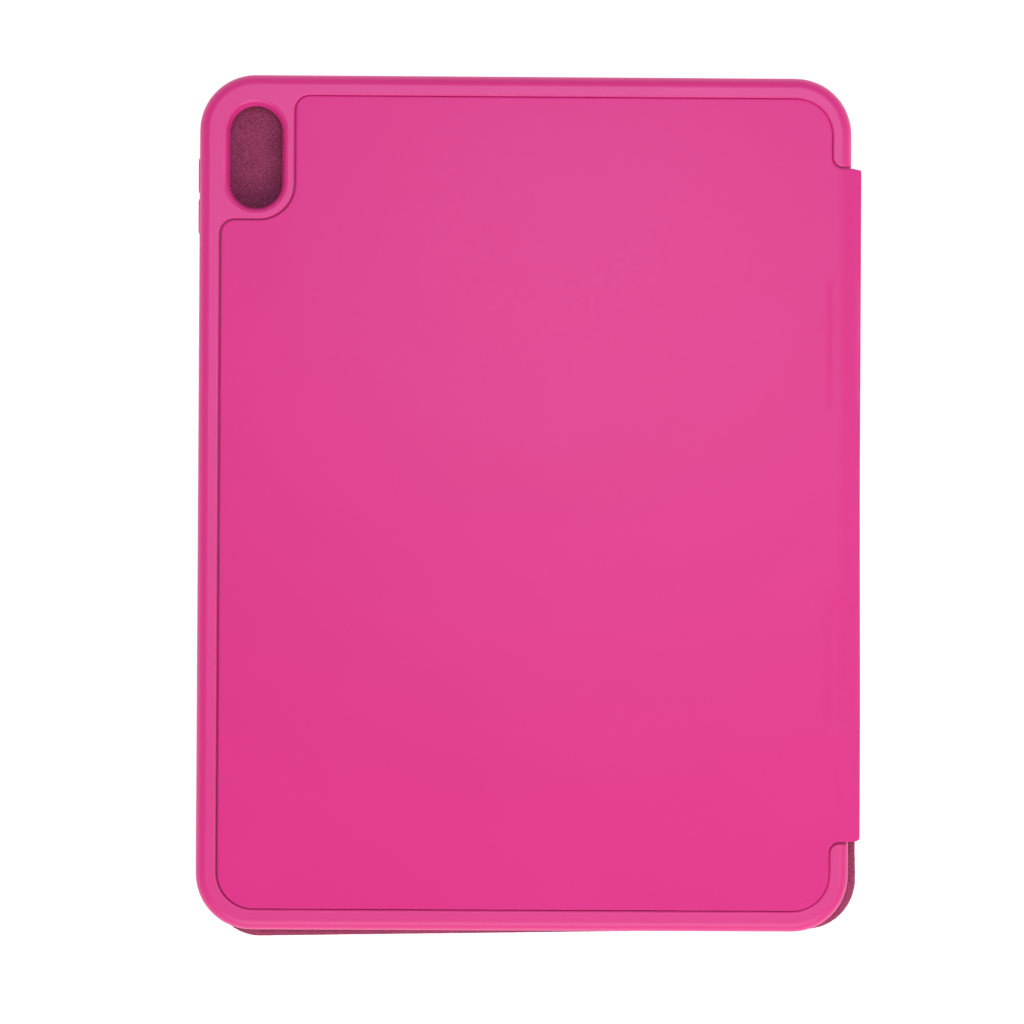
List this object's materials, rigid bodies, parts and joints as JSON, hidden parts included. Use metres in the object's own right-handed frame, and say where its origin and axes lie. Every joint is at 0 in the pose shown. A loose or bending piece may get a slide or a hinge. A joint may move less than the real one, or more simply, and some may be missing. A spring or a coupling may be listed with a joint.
{
  "type": "tablet case",
  "caption": "Folio case for a tablet: soft rimmed tray with a camera window, leathercloth back that runs on as the spine, and a folding front cover lined with microfibre.",
  "frame": {"origin": "on the surface that the closed case lies on, under the middle of the tray", "axes": "+Z out of the case's back, +Y to the tablet's top edge, +X to the spine"},
  "size_m": [0.2236, 0.2906, 0.0123],
  "materials": {
    "tpu": "satin moulded",
    "leathercloth": "fine matte grain",
    "microfibre": "short nap",
    "fibreboard": "plain",
    "magnet": "nickel plated"
  },
  "bodies": {
    "tray_shell": {"tray": "tpu", "back_board": "fibreboard", "back_skin": "leathercloth", "stand_magnets": "magnet"},
    "spine": {"spine_skin": "leathercloth", "spine_board": "fibreboard", "spine_lining": "microfibre"},
    "cover_panel_1": {"cover_skin_1": "leathercloth", "cover_board_1": "fibreboard", "cover_lining_1": "microfibre", "catch_magnets": "magnet"},
    "cover_panel_2": {"cover_skin_2": "leathercloth", "cover_board_2": "fibreboard", "cover_lining_2": "microfibre"},
    "cover_panel_3": {"cover_skin_3": "leathercloth", "cover_board_3": "fibreboard", "cover_lining_3": "microfibre", "closure_magnets": "magnet", "wake_magnet": "magnet"},
    "volume_up_key": {"volume_up_pad": "tpu"},
    "volume_down_key": {"volume_down_pad": "tpu"}
  },
  "joints": [
    {"name": "spine_hinge", "type": "hinge", "parent": "tray_shell", "child": "spine", "pos_m": [0.1134, 0, 0.012], "axis": [0, -1, 0], "range_deg": [0, 178]},
    {"name": "cover_hinge", "type": "hinge", "parent": "spine", "child": "cover_panel_1", "pos_m": [0.1134, 0, 0], "axis": [0, -1, 0], "range_deg": [0, 178]},
    {"name": "cover_fold_1", "type": "hinge", "parent": "cover_panel_1", "child": "cover_panel_2", "pos_m": [0.04021, -0.00121, 0], "axis": [-0.0166, 0.9999, 0], "range_deg": [-118, 0]},
    {"name": "cover_fold_2", "type": "hinge", "parent": "cover_panel_2", "child": "cover_panel_3", "pos_m": [-0.03298, -0.00243, 0], "axis": [-0.0166, 0.9999, 0], "range_deg": [-118, 0]},
    {"name": "volume_up_press", "type": "slide", "parent": "tray_shell", "child": "volume_up_key", "axis": [1, 0, 0], "range_m": [0, 0.0004], "stiffness_N_per_m": 2500},
    {"name": "volume_down_press", "type": "slide", "parent": "tray_shell", "child": "volume_down_key", "axis": [1, 0, 0], "range_m": [0, 0.0004], "stiffness_N_per_m": 2500}
  ]
}
